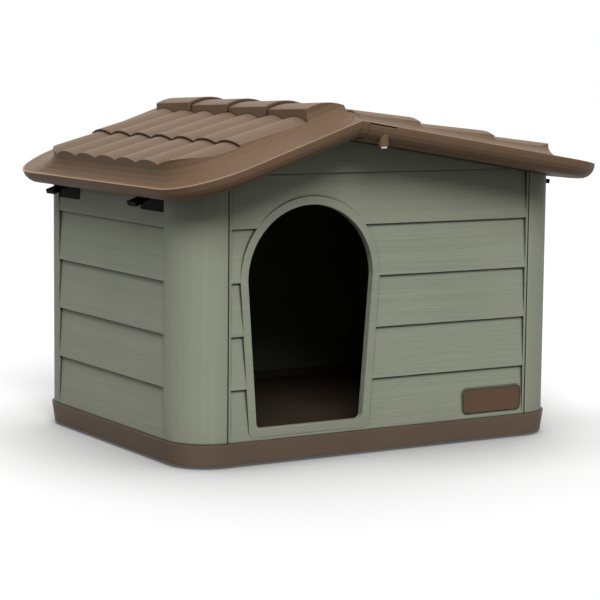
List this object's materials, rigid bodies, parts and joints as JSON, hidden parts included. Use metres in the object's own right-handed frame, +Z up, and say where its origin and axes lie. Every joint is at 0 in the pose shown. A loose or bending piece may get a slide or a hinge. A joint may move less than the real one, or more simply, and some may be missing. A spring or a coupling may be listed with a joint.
{
  "type": "dog house",
  "caption": "Plastic dog house with lap-board walls, an arched doorway and a tiled roof whose long half lifts on an off-centre ridge hinge; slide latches hold the eaves.",
  "frame": {"origin": "on the floor, under the centre of the roof's outline", "axes": "+Z up, the doorway faces -Y, +X to the right seen from the front, along the longest side"},
  "size_m": [0.6, 0.5, 0.4174],
  "materials": {
    "wall_plastic": "matt sage green with an embossed wood grain",
    "roof_plastic": "matt taupe brown with a fine speckle",
    "tray_plastic": "matt brown",
    "latch_plastic": "matt black",
    "foot_rubber": "soft black",
    "bright_steel": "plain bright zinc"
  },
  "bodies": {
    "house": {"base_tray": "tray_plastic", "foot_front_left": "foot_rubber", "foot_front_right": "foot_rubber", "foot_rear_left": "foot_rubber", "foot_rear_right": "foot_rubber", "left_wall": "wall_plastic", "right_wall": "wall_plastic", "front_panel": "wall_plastic", "rear_panel": "wall_plastic", "name_plate": "tray_plastic", "roof_left": "roof_plastic", "hinge_pin_front": "bright_steel", "hinge_pin_rear": "bright_steel", "keeper_left_front": "latch_plastic", "keeper_left_rear": "latch_plastic", "keeper_right_front": "latch_plastic", "keeper_right_rear": "latch_plastic"},
    "roof_lid": {"roof_right": "roof_plastic", "hinge_screw_front": "bright_steel", "hinge_screw_rear": "bright_steel"},
    "left_front_latch": {"latch_left_front": "latch_plastic"},
    "left_rear_latch": {"latch_left_rear": "latch_plastic"},
    "right_front_latch": {"latch_right_front": "latch_plastic"},
    "right_rear_latch": {"latch_right_rear": "latch_plastic"}
  },
  "joints": [
    {"name": "roof_lift", "type": "hinge", "parent": "house", "child": "roof_lid", "pos_m": [-0.0708, 0, 0.401], "axis": [0, -1, 0], "range_deg": [0, 80]},
    {"name": "left_front_latch_slide", "type": "slide", "parent": "house", "child": "left_front_latch", "axis": [-0.9449, 0, -0.3273], "range_m": [0, 0.008]},
    {"name": "left_rear_latch_slide", "type": "slide", "parent": "house", "child": "left_rear_latch", "axis": [-0.9449, 0, -0.3273], "range_m": [0, 0.008]},
    {"name": "right_front_latch_slide", "type": "slide", "parent": "roof_lid", "child": "right_front_latch", "axis": [-0.9877, 0, 0.1562], "range_m": [0, 0.008]},
    {"name": "right_rear_latch_slide", "type": "slide", "parent": "roof_lid", "child": "right_rear_latch", "axis": [-0.9877, 0, 0.1562], "range_m": [0, 0.008]}
  ]
}
